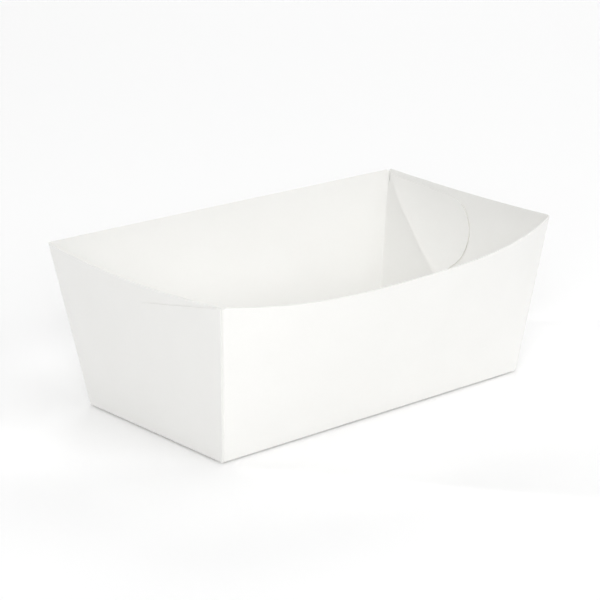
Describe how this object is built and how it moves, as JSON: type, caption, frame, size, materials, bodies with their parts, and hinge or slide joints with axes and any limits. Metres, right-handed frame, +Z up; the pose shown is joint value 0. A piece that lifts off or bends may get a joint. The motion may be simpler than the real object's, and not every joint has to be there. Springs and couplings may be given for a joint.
{
  "type": "fries tray",
  "caption": "Open tray for fries, folded and glued from one sheet of white paperboard, with bowed slanting walls and dipping rims.",
  "frame": {"origin": "centre of the underside of the base, on the surface that the tray stands on", "axes": "+X along the tray towards its narrower end, +Y across it towards the back long wall, +Z up"},
  "size_m": [0.1526, 0.1058, 0.0551],
  "materials": {
    "board": "satin"
  },
  "bodies": {
    "root": {"tray": "board"}
  },
  "joints": []
}
